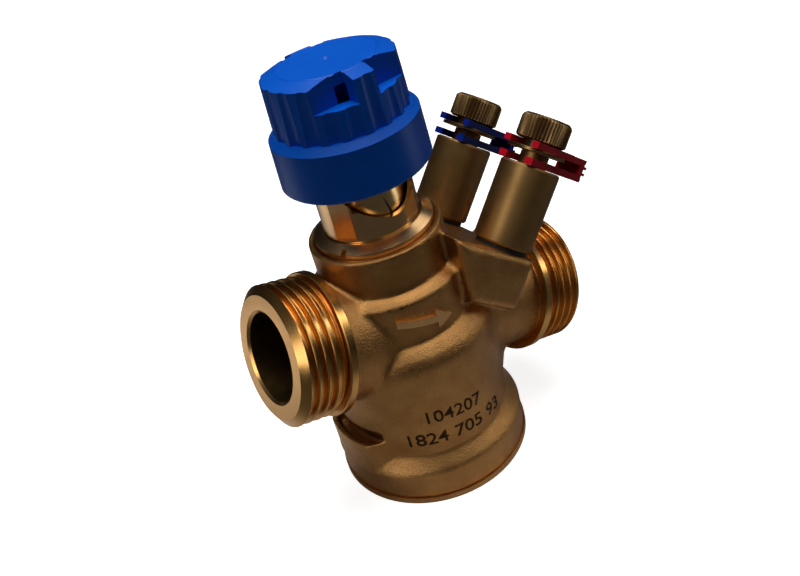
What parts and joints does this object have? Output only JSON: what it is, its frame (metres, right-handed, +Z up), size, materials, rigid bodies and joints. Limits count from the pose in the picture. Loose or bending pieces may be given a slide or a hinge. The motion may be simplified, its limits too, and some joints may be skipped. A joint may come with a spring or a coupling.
{
  "type": "pressure independent control valve",
  "caption": "Brass pressure independent control valve with leaning threaded ports, blue protective cap, setting ring and capped test plugs.",
  "frame": {"origin": "centre of the base face, on the stem axis", "axes": "+Z up the stem axis, +X towards the outlet, with the pipe axis leaning 16.3 degrees down from +X"},
  "size_m": [0.0901, 0.0492, 0.1062],
  "materials": {
    "forged_brass": "satin, blasted forging",
    "turned_brass": "polished, fine turning marks",
    "plug_brass": "satin, turned",
    "scale_brass": "polished",
    "stainless": "satin",
    "spring_steel": "satin",
    "seal_rubber": "matte",
    "pointer_black": "matte ink",
    "blue_plastic": "satin moulded",
    "strap_red": "satin moulded",
    "strap_blue": "satin moulded"
  },
  "bodies": {
    "valve": {"body": "forged_brass", "bottom_cover": "turned_brass", "cover_oring": "seal_rubber", "membrane": "seal_rubber", "regulator_seat": "seal_rubber", "regulator_spring": "spring_steel", "control_seat": "turned_brass", "bonnet": "turned_brass", "bonnet_oring": "seal_rubber", "stem_spring": "spring_steel", "gland_nut": "turned_brass", "stem_oring": "seal_rubber", "scale_sleeve": "scale_brass", "pointer": "pointer_black", "lock_ring": "turned_brass", "actuator_head": "turned_brass", "plug_body_front": "plug_brass", "plug_body_rear": "plug_brass", "plug_seal_front": "seal_rubber", "plug_seal_rear": "seal_rubber", "plug_washer_front": "seal_rubber", "plug_washer_rear": "seal_rubber"},
    "regulator": {"regulator_cone": "stainless", "membrane_plate": "stainless", "cone_screw": "stainless"},
    "stem": {"stem": "stainless", "control_cone": "turned_brass", "seal_disc": "seal_rubber", "stem_clip": "stainless"},
    "setting_ring": {"setting_ring": "turned_brass"},
    "cap_pad": {"cap_pad": "stainless"},
    "cap": {"cap": "blue_plastic"},
    "strap_front": {"strap_front": "strap_red", "cap_gasket_front": "seal_rubber"},
    "plug_cap_front": {"plug_cap_front": "plug_brass"},
    "strap_rear": {"strap_rear": "strap_blue", "cap_gasket_rear": "seal_rubber"},
    "plug_cap_rear": {"plug_cap_rear": "plug_brass"}
  },
  "joints": [
    {"name": "regulator_travel", "type": "slide", "parent": "valve", "child": "regulator", "axis": [0, 0, 1], "range_m": [0, 0.003], "stiffness_N_per_m": 2000, "deforming": ["regulator_spring", "membrane"]},
    {"name": "stem_travel", "type": "slide", "parent": "valve", "child": "stem", "axis": [0, 0, -1], "range_m": [0, 0.00225], "stiffness_N_per_m": 2000, "deforming": ["stem_spring"]},
    {"name": "setting_turn", "type": "hinge", "parent": "valve", "child": "setting_ring", "pos_m": [0, 0, 0.07], "axis": [0, 0, 1], "range_deg": [-90, 180]},
    {"name": "cap_rise", "type": "slide", "parent": "valve", "child": "cap_pad", "axis": [0, 0, 1], "range_m": [0, 0.0075]},
    {"name": "cap_turn", "type": "hinge", "parent": "cap_pad", "child": "cap", "pos_m": [0, 0, 0.09], "axis": [0, 0, 1], "range_deg": [0, 1800]},
    {"name": "plug_cap_rise_front", "type": "slide", "parent": "valve", "child": "strap_front", "axis": [0.6455, 0, 0.7638], "range_m": [0, 0.0045]},
    {"name": "plug_cap_turn_front", "type": "hinge", "parent": "strap_front", "child": "plug_cap_front", "pos_m": [0.04119, -0.0124, 0.07054], "axis": [0.6455, 0, 0.7638], "range_deg": [0, 2160]},
    {"name": "plug_cap_rise_rear", "type": "slide", "parent": "valve", "child": "strap_rear", "axis": [0.6455, 0, 0.7638], "range_m": [0, 0.0045]},
    {"name": "plug_cap_turn_rear", "type": "hinge", "parent": "strap_rear", "child": "plug_cap_rear", "pos_m": [0.04119, 0.0124, 0.07054], "axis": [0.6455, 0, 0.7638], "range_deg": [0, 2160]}
  ],
  "couplings": [
    {"joint": "cap_turn", "follows": "cap_rise", "rad_per_m": 4188.8},
    {"joint": "plug_cap_turn_front", "follows": "plug_cap_rise_front", "rad_per_m": 8377.6},
    {"joint": "plug_cap_turn_rear", "follows": "plug_cap_rise_rear", "rad_per_m": 8377.6}
  ]
}
